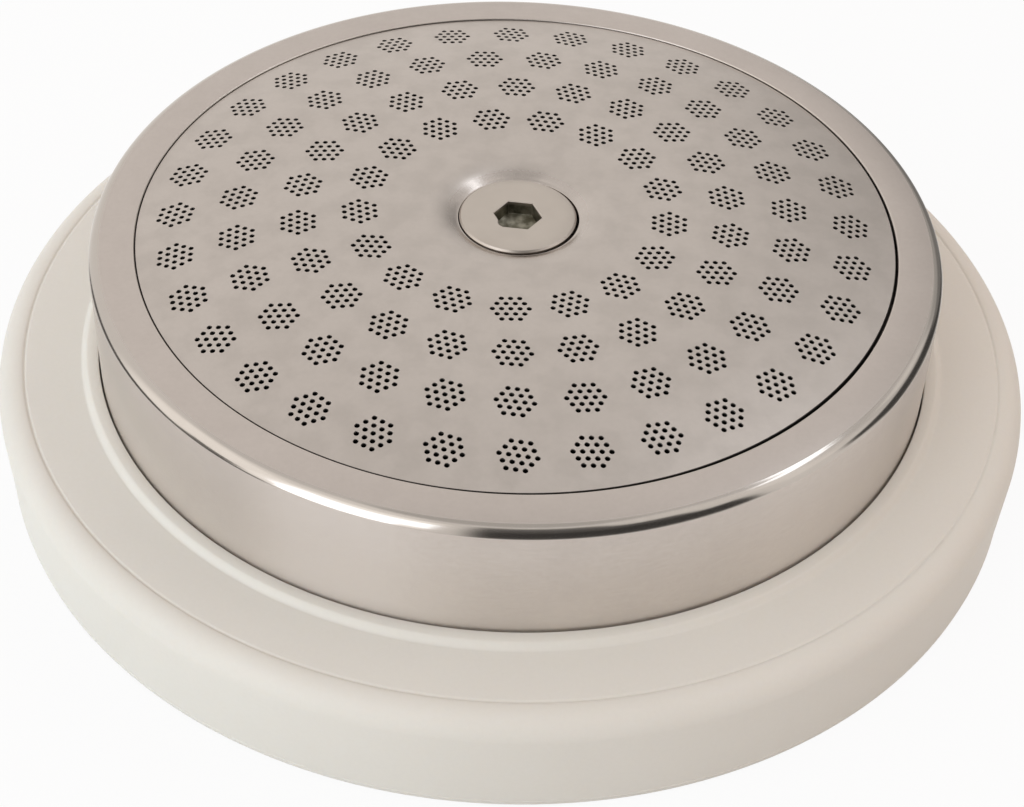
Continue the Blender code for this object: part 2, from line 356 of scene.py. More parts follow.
# %% [markdown]
# Cream silicone is matt but not chalky. Its colour drifts a little over a few millimetres, its
# skin shows the fine blasted grain of the mould, and light goes a short way into it.

# %% Silicone
def silicone():
    finish = Finish(
        "cream_silicone",
        ior=1.43,
        subsurface_weight=0.12,
        subsurface_scale=0.8 * MM,
        subsurface_radius=(1.0, 0.75, 0.5),
    )
    drift = finish.noise(9 * MM)
    grain = finish.noise(0.25 * MM, 3.0)
    colour = finish.mix(drift * 0.7 + grain * 0.5, (0.725, 0.70, 0.638), (0.68, 0.655, 0.594))
    finish.feed(
        base_color=colour,
        roughness=0.52 + drift * 0.08 + grain * 0.06,
        normal=finish.bump(grain, 0.004 * MM),
    )
    return finish


SECTION_TO_RINGS = directions(RING_COLUMNS)
section = gasket_section()
gasket = add_piece(
    "gasket_skin",
    rings(section, SECTION_TO_RINGS),
    ring_faces(len(section), RING_COLUMNS, closed=True),
    [silicone()],
)
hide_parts("silicone_gasket")

# %% [markdown]
# ## The steel cup
#
# The cup is drawn from sheet. Its wall and the flat land on top were turned against an
# abrasive, which leaves fine lines round the axis, and the round edge between them was
# polished. Land and wall were turned after that, so each meets the round in a fine crease. The
# lip bends down beside the plate and ends in a shelf that carries it. The back of the sheet is
# the front moved inwards by the sheet's thickness, with each corner mitred.

# %% Cup surface
SHEET = 0.5 * MM
LIP_RADIUS = SHELL_RADIUS - 2.68 * MM
LIP_ROUND = 0.1 * MM
# Middle and width of each dent in degrees, and its depth
LIP_DENTS = ((-42, 28, 0.11 * MM), (-85, 30, 0.06 * MM), (35, 40, -0.08 * MM))
RIM_ROUND = 0.85 * MM
RIM_ROUND_START = 78  # degrees above level, where the land ends
RIM_ROUND_END = 18  # and where the wall starts
SHELF_WIDTH = 1.0 * MM
SEAT_GAP = 0.2 * MM
DOME_FLAT_RADIUS = 9.8 * MM
DOME_ARC_RADIUS = 60 * MM


def dome_height(radius):
    """The plate's top: flat in the middle, then an arc that falls towards the edge."""
    reach = np.maximum(radius - DOME_FLAT_RADIUS, 0.0)
    return PLATE_CREST - DOME_ARC_RADIUS + np.sqrt(DOME_ARC_RADIUS**2 - reach**2)


def dome_lean(radius):
    """Sine of the plate's slope: the reach from the flat middle over the arc's radius."""
    return np.maximum(radius - DOME_FLAT_RADIUS, 0.0) / DOME_ARC_RADIUS


def sheet_back(corners, thickness):
    """Each corner moves along the mitre of the two runs that meet there."""
    front = np.array(corners)
    run = np.diff(front, axis=0)
    normal = np.stack([run[:, 1], -run[:, 0]], axis=1) / np.linalg.norm(run, axis=1)[:, None]
    before, after = np.vstack([normal[:1], normal]), np.vstack([normal, normal[-1:]])
    mitre = (before + after) / (1 + np.sum(before * after, axis=1))[:, None]
    return (front + mitre * thickness).tolist()


def shelf():
    """The hidden shelf, parallel to the plate above it."""
    slope = math.asin(dome_lean(PLATE_RADIUS))
    below = dome_height(PLATE_RADIUS) - (SHEET + SEAT_GAP) / math.cos(slope)
    outer = below - (LIP_RADIUS - PLATE_RADIUS) * math.tan(slope)
    return [(LIP_RADIUS - SHELF_WIDTH, outer + SHELF_WIDTH * math.tan(slope)), (LIP_RADIUS, outer)]


def dent(angles, middle, depth, width):
    """A shallow flat in a round edge: depth times a bell of the angle from its middle."""
    turn = np.mod(angles - middle + np.pi, 2 * np.pi) - np.pi
    return depth * np.exp(-((turn / width) ** 2))


def lip_radius(angles):
    """The lip's opening is not quite round: it is pressed in at the front and out at the back."""
    radius = np.full(len(angles), LIP_RADIUS)
    for middle, width, depth in LIP_DENTS:
        radius = radius - dent(angles, math.radians(middle), depth, math.radians(width))
    return radius


def cup_front():
    """Rings of the shelf and lip, of the polished round and of the wall."""
    pressed = LIP_RADIUS - lip_radius(SECTION_TO_RINGS)
    lip = shelf() + arc((LIP_RADIUS + LIP_ROUND, LIP_TOP - LIP_ROUND), LIP_ROUND, 180, 90, 8)
    lip = [(r - pressed, z) for r, z in lip]
    start, end = math.radians(RIM_ROUND_START), math.radians(RIM_ROUND_END)
    centre = (SHELL_RADIUS - RIM_ROUND * math.cos(end), LIP_TOP - RIM_ROUND * math.sin(start))
    polished = arc(centre, RIM_ROUND, RIM_ROUND_START, RIM_ROUND_END, 20)
    return lip, polished, [(SHELL_RADIUS, SHELL_FOOT)]


# %% [markdown]
# Turned lines spread a reflection across them and leave it sharp along them, so a window shows
# on the wall as an upright streak with a crisp side. The shader's anisotropy does this: its own
# tangent runs round the axis, and a quarter turn puts the spread across the lines. The
# polished round is a material of its own, almost a mirror, with faint wipe marks.

# %% Turned and polished steel
def turned_steel(name, metallic, spread, low, high, roughness):
    """Colour of low near the foot and of high near the rim, with fine blots and lines of darker steel. The
    change with height is painted light: lighter near the foot, where the wall reflects more light, darker
    towards the rim.
    """
    finish = Finish(name, metallic=metallic, anisotropic=spread, anisotropic_rotation=0.25)
    drift = finish.noise(4 * MM)
    blots = finish.noise(0.3 * MM, 2.0)
    lines = finish.noise(0.05 * MM, 2.0, stretch=(0.05, 0.05, 1.0))
    # Painted light: lighter near the foot and darker towards the rim.
    colour = finish.mix(finish.axes()[1].rises(8 * MM, LIP_TOP), low, high)
    finish.feed(
        base_color=finish.mix(drift * 0.1 + blots * 0.14 + lines * 0.12, colour, (0.3, 0.26, 0.23)),
        roughness=roughness + drift * 0.05 + lines * 0.06,
        normal=finish.bump(lines, 0.0012 * MM),
    )
    return finish


def polished_steel():
    finish = Finish("polished_steel", metallic=1.0, anisotropic=0.7, anisotropic_rotation=0.25)
    wipe = finish.noise(1.2 * MM, 3.0)
    colour = finish.mix(wipe, (0.53, 0.49, 0.45), (0.50, 0.455, 0.415))
    finish.feed(base_color=colour, roughness=0.11 + wipe * 0.06)
    return finish


def lip_steel():
    finish = Finish("lip_steel", metallic=1.0)
    drift = finish.noise(2 * MM)
    # Painted shade: the shelf and the lip's lower part are painted nearly black, for the shade in the gap
    # beside the plate; the top of the lip keeps the bright steel.
    shade = finish.axes()[1].rises(LIP_TOP - 0.5 * MM, LIP_TOP - 0.25 * MM)
    bright = finish.mix(drift, (0.58, 0.525, 0.48), (0.53, 0.48, 0.435))
    finish.feed(
        base_color=finish.mix(shade, (0.05, 0.045, 0.04), bright),
        roughness=0.32 + drift * 0.08,
    )
    return finish


lip_rings, round_rings, wall_rings = cup_front()
front = lip_rings + round_rings + wall_rings
corners = shelf() + [(LIP_RADIUS, LIP_TOP), (SHELL_RADIUS, LIP_TOP), wall_rings[-1]]
section = front + sheet_back(corners, SHEET)[::-1]
cup = add_piece(
    "steel_cup",
    rings(section, SECTION_TO_RINGS),
    ring_faces(len(section), RING_COLUMNS, closed=True),
    [
        # Painted light: the wall's steel is painted lighter than the land's, and lighter still at the foot
        # than near the rim.
        turned_steel("turned_wall", 0.85, 1.0, (0.81, 0.753, 0.706), (0.68, 0.628, 0.589), 0.17),
        polished_steel(),
        lip_steel(),
        turned_steel("turned_land", 1.0, 0.6, (0.565, 0.506, 0.469), (0.565, 0.506, 0.469), 0.28),
    ],
    sharp=16.0,
)
WALL, ROUND, LIP, LAND = range(4)
row_of_face = np.arange(len(cup.data.polygons)) // RING_COLUMNS
land_row = len(lip_rings) - 1
cup_material = np.full(len(row_of_face), WALL, dtype=np.int32)
cup_material[row_of_face < land_row] = LIP
cup_material[row_of_face == land_row] = LAND
cup_material[(row_of_face > land_row) & (row_of_face < land_row + len(round_rings))] = ROUND
cup.data.polygons.foreach_set("material_index", cup_material)
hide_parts("rim_shell")

# %% [markdown]
# ## The perforated plate
#
# The plate carries 98 clusters of 19 holes, in four rings. Each hole stands in a six-sided cell
# of its own: a flat land from the cell's corners to the hole, a narrow worn edge, the wall of
# the hole, and the same land underneath. The 19 cells of a cluster share their corners. The
# sheet between the clusters is filled with triangles between the clusters' outlines and the
# two circles that bound the dome. All points are placed flat first, and then the dome's formula
# lifts them.

# %% Hole pattern
FIRST_RING_RADIUS = 9.16 * MM
RING_PITCH = 3.63 * MM
RING_COUNT = 4
FIRST_RING_CLUSTERS = 17
CLUSTERS_ADDED_PER_RING = 5
FIRST_CLUSTER_ANGLE = math.radians(-157.1)
FIRST_CLUSTER_OFFSET = 0.57 * MM
CLUSTER_TURN = math.radians(10.9)
CLUSTER_TURN_OFFSET = 3.39 * MM
HOLE_PITCH = 0.516 * MM
HOLE_RADIUS = 0.15 * MM
HOLE_EDGE = 0.012 * MM
HOLES_FROM_CENTRE = 2
HOLE_SIDES = 12


def cluster_places():
    """Centre and turn of every cluster, ring by ring from the inside."""
    places = []
    for ring in range(RING_COUNT):
        radius = FIRST_RING_RADIUS + ring * RING_PITCH
        start = FIRST_CLUSTER_ANGLE + math.asin(FIRST_CLUSTER_OFFSET / radius)
        turn = CLUSTER_TURN + math.asin(CLUSTER_TURN_OFFSET / radius)
        angles = directions(FIRST_RING_CLUSTERS + ring * CLUSTERS_ADDED_PER_RING, start)
        x = radius * np.cos(angles) - PATTERN_OFF_CENTRE
        places.append(np.stack([x, radius * np.sin(angles), angles + turn], axis=1))
    return np.vstack(places)


def cluster_template():
    """Hole centres, shared cell corners, which corners each cell has, and the outline's corners.

    The centres are a six-sided lattice: a steps along one side and b along another, with no
    more than two steps in any of the three directions.
    """
    steps = np.arange(-HOLES_FROM_CENTRE, HOLES_FROM_CENTRE + 1)
    a, b = (grid.ravel() for grid in np.meshgrid(steps, steps))
    inside = np.abs(a + b) <= HOLES_FROM_CENTRE
    a, b = a[inside], b[inside]
    centres = HOLE_PITCH * np.stack([a + b / 2, b * math.sqrt(3) / 2], axis=1)
    spokes = directions(6, math.radians(30))
    reach = HOLE_PITCH / math.sqrt(3)
    corners = centres[:, None] + reach * np.stack([np.cos(spokes), np.sin(spokes)], axis=1)
    keys = np.round(corners.reshape(-1, 2) / (reach / 100)).astype(int)
    unique, first, index = np.unique(keys, axis=0, return_index=True, return_inverse=True)
    index = index.reshape(-1, 6)
    shared = corners.reshape(-1, 2)[first]
    cells_at = np.bincount(index.ravel(), minlength=len(shared))
    rim = np.flatnonzero(cells_at < 3)
    order = np.argsort(np.arctan2(shared[rim, 1], shared[rim, 0]))
    return centres, shared, index, rim[order]


places = cluster_places()
hole_centres, cell_corners, cells, outline = cluster_template()
print(len(places), "clusters,", len(places) * len(hole_centres), "holes,", len(outline), "outline corners")

# %% [markdown]
# A cell's faces follow the same pattern for every hole, so they are written once as index
# arithmetic and repeated with numpy for all the holes of the plate.

# %% One cluster's faces
def cluster_faces():
    """Faces of one cluster as indices into corners, edge, throat, mouth below and corners below.

    The points of a cluster come in that order: its shared corners on top, for each hole the
    outer and the inner ring of its worn edge and the ring underneath, then the corners below.
    """
    count, holes, sides = len(cell_corners), len(hole_centres), HOLE_SIDES
    ring = np.arange(sides)
    following = (ring + 1) % sides
    hole_start = np.arange(holes)[:, None] * sides
    edge = count + hole_start + ring
    edge_next = count + hole_start + following
    throat, throat_next = edge + holes * sides, edge_next + holes * sides
    below, below_next = edge + 2 * holes * sides, edge_next + 2 * holes * sides
    corners_below = count + 3 * holes * sides

    def land(rim, rim_next, corner):
        """Two triangles from each corner to the ring, and one between neighbouring corners."""
        near = rim[:, 0::2]
        middle = rim[:, 1::2]
        far = rim_next[:, 1::2]
        beyond = np.roll(corner, -1, axis=1)
        return [(corner, near, middle), (corner, middle, far), (corner, far, beyond)]

    def stack(corner_sets, flip=False):
        faces = np.concatenate([np.stack(c, axis=-1).reshape(-1, len(c)) for c in corner_sets])
        return faces[:, ::-1] if flip else faces

    top = stack(land(edge, edge_next, cells), flip=True)
    bottom = stack(land(below, below_next, cells + corners_below))
    worn = stack([(edge, edge_next, throat_next, throat)])
    wall = stack([(throat, throat_next, below_next, below)])
    return top, bottom, worn, wall, corners_below + count


top_land, bottom_land, worn_edge, hole_wall, cluster_size = cluster_faces()


def around_holes(radius):
    """Points on a circle of a radius round each hole centre."""
    angles = directions(HOLE_SIDES)
    circle = radius * np.stack([np.cos(angles), np.sin(angles)], axis=1)
    return (hole_centres[:, None] + circle).reshape(-1, 2)


def spread(local):
    """Put a cluster's flat points at every cluster's place and turn."""
    cos, sin = np.cos(places[:, 2, None]), np.sin(places[:, 2, None])
    x = places[:, 0, None] + cos * local[:, 0] - sin * local[:, 1]
    y = places[:, 1, None] + sin * local[:, 0] + cos * local[:, 1]
    return np.stack([x, y], axis=-1)


# %% [markdown]
# The dome's underside is the top lowered by the sheet's thickness, a little more where it
# slopes. The worn edge of each hole dips into the sheet by its own width.

# %% Lift the flat points onto the dome
def on_top(flat, drop=0.0):
    radius = np.hypot(flat[..., 0], flat[..., 1])
    return np.concatenate([flat, (dome_height(radius) - drop)[..., None]], axis=-1)


def on_back(flat):
    radius = np.hypot(flat[..., 0], flat[..., 1])
    height = dome_height(radius) - SHEET / np.sqrt(1 - dome_lean(radius) ** 2)
    return np.concatenate([flat, height[..., None]], axis=-1)


cluster_points = np.concatenate(
    [
        on_top(spread(cell_corners)),
        on_top(spread(around_holes(HOLE_RADIUS + HOLE_EDGE))),
        on_top(spread(around_holes(HOLE_RADIUS)), HOLE_EDGE),
        on_back(spread(around_holes(HOLE_RADIUS))),
        on_back(spread(cell_corners)),
    ],
    axis=1,
)
outline_flat = spread(cell_corners[outline])
print("points in the clusters:", cluster_points.shape[0] * cluster_points.shape[1])

# %% [markdown]
# Blender's constrained Delaunay triangulation fills a flat region with well-shaped triangles
# that keep given edges. It gets the clusters' outlines, the two circles, and a few loose
# points between the clusters so that the triangles can follow the dome. It also says which
# outlines each triangle lies in, and the sheet is what lies in the outer circle alone.

# %% Fill the sheet between the clusters
WELL_COLUMNS = 144
EDGE_COLUMNS = 216
WELL_OPENING = 5.6 * MM
WELL_MIDDLE = np.array([0.05, -0.06]) * MM
EDGE_ROUND = 0.05 * MM
EDGE_GAP = 0.037 * MM
EDGE_DENT = 0.095 * MM
EDGE_DENT_ANGLE = math.radians(-30)
EDGE_DENT_WIDTH = math.radians(45)
EDGE_SHIFT = 0.03 * MM
EDGE_SHIFT_ANGLE = math.radians(120)
LOOSE_PITCH = 0.9 * MM
LOOSE_CLEARANCE = 1.7 * MM

edge_angles = directions(EDGE_COLUMNS)
gap = EDGE_GAP + dent(edge_angles, EDGE_DENT_ANGLE, EDGE_DENT, EDGE_DENT_WIDTH)
gap = gap - EDGE_SHIFT * np.cos(edge_angles - EDGE_SHIFT_ANGLE)
plate_rim = lip_radius(edge_angles) - gap - EDGE_ROUND


def circle(radius, columns, middle=(0.0, 0.0)):
    """Flat points round a middle; the radius may change with the angle."""
    angles = directions(columns)
    return np.stack([radius * np.cos(angles), radius * np.sin(angles)], axis=1) + middle


def loose_points():
    """Points on circles between the well and the rim, away from every cluster."""
    found = []
    for radius in np.arange(WELL_OPENING + LOOSE_PITCH, plate_rim.min() - LOOSE_PITCH / 2, LOOSE_PITCH):
        points = circle(radius, round(2 * math.pi * radius / LOOSE_PITCH))
        distance = np.linalg.norm(points[:, None] - places[None, :, :2], axis=2).min(axis=1)
        found.append(points[distance > LOOSE_CLEARANCE])
    return np.concatenate(found)


def fill_sheet():
    """Triangles of the sheet between the outlines, as indices into the flat points given."""
    inner = circle(WELL_OPENING, WELL_COLUMNS, WELL_MIDDLE)
    outer = circle(plate_rim, EDGE_COLUMNS)
    flat = np.concatenate([outline_flat.reshape(-1, 2), inner, outer, loose_points()])
    side = len(outline)
    loops = [list(range(n * side, (n + 1) * side)) for n in range(len(places))]
    start = len(places) * side
    loops.append(list(range(start, start + WELL_COLUMNS)))
    start += WELL_COLUMNS
    loops.append(list(range(start, start + EDGE_COLUMNS)))
    vectors = [Vector(point) for point in (flat / MM).tolist()]
    result = delaunay_2d_cdt(vectors, [], loops, 1, 1e-5, True)
    triangles = [face for face, owners in zip(result[2], result[5]) if owners == [len(loops) - 1]]
    print("loose points", len(flat) - start - EDGE_COLUMNS, "new points", len(result[0]) - len(flat))
    return flat, np.array(triangles)


sheet_flat, sheet_faces = fill_sheet()
print("triangles between the clusters:", len(sheet_faces))


# %% [markdown]
# The sheet's top and back use the same triangles. At the middle the sheet dips like a shallow
# dish, and a tight corner turns down into the well that hides the screw's head. At the outside
# a small round closes the cut edge. Both are strips of rings between the top's circle and the
# back's. The well lies a hair off the middle, to the front right. The outer edge is a little flat
# at the front right and lies a hair off the middle too, so the dark gap is wider there.

# %% Well and edge sections
DISH_RADIUS = 3.5 * MM
WELL_RADIUS = HEAD_RADIUS + 0.09 * MM
WELL_CORNER = 0.05 * MM
WELL_FLOOR = WASHER_BOTTOM - SEAT_GAP
WELL_FLOOR_ROUND = 0.3 * MM
SCREW_BORE = 2.25 * MM
DRAWN_FADE = (3.9 * MM, 4.8 * MM)


def well_section():
    """From the dome down the well, through the screw's hole and back up underneath."""
    dish_centre = (WELL_OPENING, PLATE_CREST - DISH_RADIUS)
    corner_r = WELL_RADIUS + WELL_CORNER
    turned = math.acos((WELL_OPENING - corner_r) / (DISH_RADIUS + WELL_CORNER))
    end = 180 - math.degrees(turned)
    corner_z = dish_centre[1] + (DISH_RADIUS - WELL_CORNER) * math.sin(turned)
    floor_centre = (WELL_RADIUS - WELL_FLOOR_ROUND, WELL_FLOOR + WELL_FLOOR_ROUND)
    section = arc(dish_centre, DISH_RADIUS, 90, end, 12)[1:]
    section += arc((corner_r, corner_z), WELL_CORNER, end, 180, 5)[1:]
    section += arc(floor_centre, WELL_FLOOR_ROUND, 0, -90, 5)
    section += [(SCREW_BORE, WELL_FLOOR), (SCREW_BORE, WELL_FLOOR - SHEET)]
    section += arc(floor_centre, WELL_FLOOR_ROUND + SHEET, -90, 0, 8)
    back_end = 180 - math.degrees(math.acos((WELL_OPENING - WELL_RADIUS - SHEET) / (DISH_RADIUS - SHEET)))
    section += arc(dish_centre, DISH_RADIUS - SHEET, back_end, 90, 6)[:-1]
    return section


def edge_rings():
    """Rings round the plate's cut edge: a small quarter round down from the top, one from the back."""
    rim = circle(plate_rim, EDGE_COLUMNS)
    top, back = on_top(rim)[:, 2], on_back(rim)[:, 2]
    quarter = arc((0.0, 0.0), EDGE_ROUND, 90, 0, 4)[1:]
    from_top = [(out, top - EDGE_ROUND + up) for out, up in quarter]
    from_back = [(out, back + EDGE_ROUND - up) for out, up in quarter[::-1]]
    flat = [circle(plate_rim + out, EDGE_COLUMNS) for out, z in from_top + from_back]
    heights = [z for out, z in from_top + from_back]
    return np.concatenate([np.array(flat), np.array(heights)[..., None]], axis=-1)


def strip_faces(index_rows):
    """Faces between neighbouring rows of point numbers."""
    here, after = index_rows[:-1], index_rows[1:]
    quads = (here, after, np.roll(after, -1, axis=1), np.roll(here, -1, axis=1))
    return np.stack(quads, axis=-1).reshape(-1, 4)


# %% [markdown]
# Now the parts of the plate are put together into one closed surface. Points that two parts
# share have one number, so nothing is left open. Last, the dome's true normals are given to the
# lands, because long thin triangles would otherwise shade unevenly.

# %% Put the plate together
SATIN, WORN, HOLE, CUT = range(4)
TOP, BACK, NEITHER = 1, -1, 0


def build_plate():
    """All points, and groups of faces with their material's number and their side of the dome."""
    clusters, side = len(places), len(outline)
    extra = sheet_flat[clusters * side:]
    base = (np.arange(clusters) * cluster_size)[:, None]
    first_top = clusters * cluster_size
    first_back = first_top + len(extra)
    corners_back = cluster_size - len(cell_corners)
    number_top = np.concatenate([(base + outline).ravel(), first_top + np.arange(len(extra))])
    number_back = np.concatenate(
        [(base + corners_back + outline).ravel(), first_back + np.arange(len(extra))]
    )
    points = [cluster_points.reshape(-1, 3), on_top(extra), on_back(extra)]
    next_point = first_back + len(extra)
    strips = []
    well = rings(well_section(), directions(WELL_COLUMNS)) + [*WELL_MIDDLE, 0.0]
    for ring_points, skip, flip in ((well, 0, True), (edge_rings(), WELL_COLUMNS, False)):
        columns = ring_points.shape[1]
        ring = np.arange(columns)
        rows = next_point + np.arange(len(ring_points) * columns).reshape(-1, columns)
        index = np.vstack([first_top + skip + ring, rows, first_back + skip + ring])
        faces = strip_faces(index)
        strips.append(faces[:, ::-1] if flip else faces)
        points.append(ring_points.reshape(-1, 3))
        next_point += len(ring_points) * columns

    def everywhere(faces):
        return (base[:, :, None] + faces[None]).reshape(-1, faces.shape[1])

    groups = [
        (number_top[sheet_faces], SATIN, TOP),
        (everywhere(top_land), SATIN, TOP),
        (number_back[sheet_faces][:, ::-1], SATIN, BACK),
        (everywhere(bottom_land), SATIN, BACK),
        (strips[0], SATIN, NEITHER),
        (strips[1], CUT, NEITHER),
        (everywhere(worn_edge), WORN, NEITHER),
        (everywhere(hole_wall), HOLE, NEITHER),
    ]
    return np.concatenate(points), groups


def satin_steel():
    finish = Finish("satin_steel", metallic=1.0)
    drift = finish.noise(5 * MM, 3.0)
    blots = finish.noise(1.6 * MM, 2.0)
    grain = finish.noise(0.12 * MM, 2.0)
    drawn = 1 - finish.axes()[0].rises(*DRAWN_FADE)
    specks = finish.noise(0.3 * MM, 2.0)
    light = finish.mix(drift, (0.565, 0.512, 0.474), (0.528, 0.476, 0.437))
    colour = finish.mix(blots.rises(0.35, 0.7) * 0.4 + specks * 0.35, light, (0.45, 0.406, 0.372))
    finish.feed(
        base_color=colour,
        roughness=0.34 + drift * 0.06 + grain * 0.05 - drawn * 0.16,
        normal=finish.bump(grain, 0.0025 * MM),
    )
    return finish


def hole_edge_shaded_steel():
    finish = Finish("hole_edge_painted_shade", metallic=1.0)
    # Painted shade: the edge that dips into each hole is painted darker than the land round it; the noise
    # varies that tone at random.
    edge_tone = finish.noise(0.4 * MM)
    finish.feed(
        base_color=finish.mix(edge_tone, (0.46, 0.41, 0.375), (0.36, 0.325, 0.295)),
        roughness=0.4 + edge_tone * 0.12,
    )
    return finish


def hole_steel():
    """Grey near the mouth and black further down, where no light comes back out."""
    finish = Finish("punched_hole_wall", metallic=1.0)
    tarnish = finish.noise(0.3 * MM)
    radius, height = finish.axes()
    reach = (radius - DOME_FLAT_RADIUS).at_least(0.0)
    crown = PLATE_CREST - DOME_ARC_RADIUS + (DOME_ARC_RADIUS**2 - reach * reach) ** 0.5
    deep = (crown - height).rises(0.0, 0.16 * MM)
    mouth = finish.mix(tarnish, (0.36, 0.325, 0.295), (0.26, 0.235, 0.21))
    finish.feed(
        base_color=finish.mix(deep, mouth, (0.012, 0.011, 0.011)),
        roughness=0.5 + tarnish * 0.2,
    )
    return finish


def cut_edge_painted_shade():
    # Painted shade: the plate's cut edge is painted nearly black, for the shade in the narrow gap beside
    # the lip; the noise only varies that black.
    finish = Finish("cut_edge", metallic=1.0)
    shade_blots = finish.noise(0.4 * MM)
    finish.feed(
        base_color=finish.mix(shade_blots, (0.06, 0.055, 0.05), (0.035, 0.03, 0.03)),
        roughness=0.45 + shade_blots * 0.15,
    )
    return finish


plate_points, groups = build_plate()
plate_faces = [face for faces, _, _ in groups for face in faces.tolist()]
plate = add_piece(
    "perforated_disc",
    plate_points,
    plate_faces,
    [satin_steel(), hole_edge_shaded_steel(), hole_steel(), cut_edge_painted_shade()],
)
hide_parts("perforated_plate")


def dome_normals():
    """One normal for each face corner: the dome's own on its two sides, none elsewhere."""
    flat = plate_points[:, :2]
    radius = np.hypot(flat[:, 0], flat[:, 1])
    lean = dome_lean(radius)
    up = np.stack([flat[:, 0] / radius * lean, flat[:, 1] / radius * lean, np.sqrt(1 - lean**2)], axis=1)
    parts = [(up[faces.ravel()] * side) for faces, _, side in groups]
    return np.concatenate(parts)


material_of_face = np.concatenate([np.full(len(faces), m, dtype=np.int32) for faces, m, _ in groups])
plate.data.polygons.foreach_set("material_index", material_of_face)
plate.data.normals_split_custom_set(dome_normals().tolist())

# %% [markdown]
# ## The clamp screw
#
# It is an M4 screw with a low round head, turned from bar. The head has a small bevel, and a
# hexagon socket that ends in the cone of the drill. A key has slipped in it once and left a
# bright nick in one corner. The whole screw is one grid: a row can be a circle, a hexagon or
# one turn of the thread, since each row's radius may be a formula of the angle.

# %% Screw surface
SCREW_COLUMNS = 96
HEAD_HEIGHT = 1.5 * MM
HEAD_BEVEL = 0.13 * MM
EDGE_BREAK = 0.03 * MM
SOCKET_FLATS = 2.5 * MM
SOCKET_DEPTH = 0.9 * MM
SOCKET_CONE = 0.4 * MM
SOCKET_TURN = math.radians(-5.5)
SOCKET_BREAK = 0.05 * MM
SOCKET_FLOOR_ROUND = 0.02 * MM
HEAD_FACE_RINGS = (1.8 * MM, 2.6 * MM)
# Depth below the head's top, and radius, where the socket turns darker and olive.
SOCKET_DARK_BELOW_TOP = (0.08 * MM, 0.33 * MM)
SOCKET_DARK_EDGE = (1.4 * MM, 1.5 * MM)
NICK_ANGLE = math.radians(-140)
NICK_HALF_ANGLE = math.radians(13)
NICK_REACH = 0.14 * MM
NICK_DEPTH = 0.25 * MM
THREAD_RADIUS = 1.98 * MM
THREAD_PITCH = 0.7 * MM
THREAD_DEPTH = 0.43 * MM
THREAD_CREST_SHARE = 1 / 8
THREAD_ROOT_SHARE = 1 / 4
THREAD_FILLET = 0.2 * MM
THREAD_ROWS_PER_TURN = 12
NECK = 0.8 * MM
TIP_CHAMFER = 0.4 * MM

screw_directions = directions(SCREW_COLUMNS, SOCKET_TURN)


def hexagon(flats, angles):
    """Radius of a hexagon: half its flats over the cosine of the angle from the nearest flat's middle."""
    sixth = math.pi / 3
    from_corner = np.mod(angles - SOCKET_TURN, sixth)
    return flats / 2 / np.cos(from_corner - sixth / 2)


def nick(angles, height):
    """How far the nick reaches into the socket's wall: widest on top, gone at its depth."""
    turn = np.abs(np.mod(angles - NICK_ANGLE + np.pi, 2 * np.pi) - np.pi)
    across = np.clip(1 - (turn / NICK_HALF_ANGLE) ** 2, 0, 1)
    return NICK_REACH * across * max(0.0, 1 - (HEAD_TOP - height) / NICK_DEPTH)


def thread(angles, height, start, end):
    """Radius on the thread: a trapezoid wave of height along the axis less its share of a turn."""
    phase = height / THREAD_PITCH - angles / (2 * np.pi)
    wave = np.abs(2 * (phase - np.floor(phase)) - 1)
    share = (wave - THREAD_CREST_SHARE) / (1 - THREAD_CREST_SHARE - THREAD_ROOT_SHARE)
    fade = np.clip((start - height) / THREAD_PITCH, 0, 1) * np.clip((height - end) / THREAD_PITCH, 0, 1)
    return THREAD_RADIUS - THREAD_DEPTH * np.clip(share, 0, 1) * fade


def socket_rows(angles):
    """From the drill's point up the cone, then up the hexagon's walls to the top of the head."""
    socket = hexagon(SOCKET_FLATS, angles)
    socket_top = hexagon(SOCKET_FLATS + 2 * SOCKET_BREAK, angles)
    floor = HEAD_TOP - SOCKET_DEPTH
    rows = [(SOCKET_FLOOR_ROUND, floor - SOCKET_CONE)]
    rows += [(SOCKET_FLATS / 2 * share, floor - SOCKET_CONE * (1 - share)) for share in (0.3, 0.6, 0.97)]
    rows += [(socket * 0.99, floor), (socket, floor + SOCKET_FLOOR_ROUND)]
    rows.append((socket, HEAD_TOP - NICK_DEPTH))
    for depth in (0.6 * NICK_DEPTH, 0.3 * NICK_DEPTH, SOCKET_BREAK):
        rows.append((socket + nick(angles, HEAD_TOP - depth), HEAD_TOP - depth))
    rows.append((socket_top + nick(angles, HEAD_TOP), HEAD_TOP))
    return rows


def head_rows():
    """The flat face, the bevel with its broken edges, the head's side and its underside."""
    bevel_in, bevel_down = HEAD_RADIUS - HEAD_BEVEL, HEAD_TOP - HEAD_BEVEL
    bottom = HEAD_TOP - HEAD_HEIGHT
    rows = [(radius, HEAD_TOP) for radius in HEAD_FACE_RINGS]
    rows.append((bevel_in - EDGE_BREAK, HEAD_TOP))
    rows.append((bevel_in + EDGE_BREAK / 2, HEAD_TOP - EDGE_BREAK / 2))
    rows.append((HEAD_RADIUS - EDGE_BREAK / 2, bevel_down + EDGE_BREAK / 2))
    rows.append((HEAD_RADIUS, bevel_down - EDGE_BREAK))
    rows.append((HEAD_RADIUS, bottom + EDGE_BREAK))
    rows.append((HEAD_RADIUS - EDGE_BREAK, bottom))
    return rows + [(THREAD_RADIUS + THREAD_FILLET, bottom), (THREAD_RADIUS, bottom - THREAD_FILLET)]


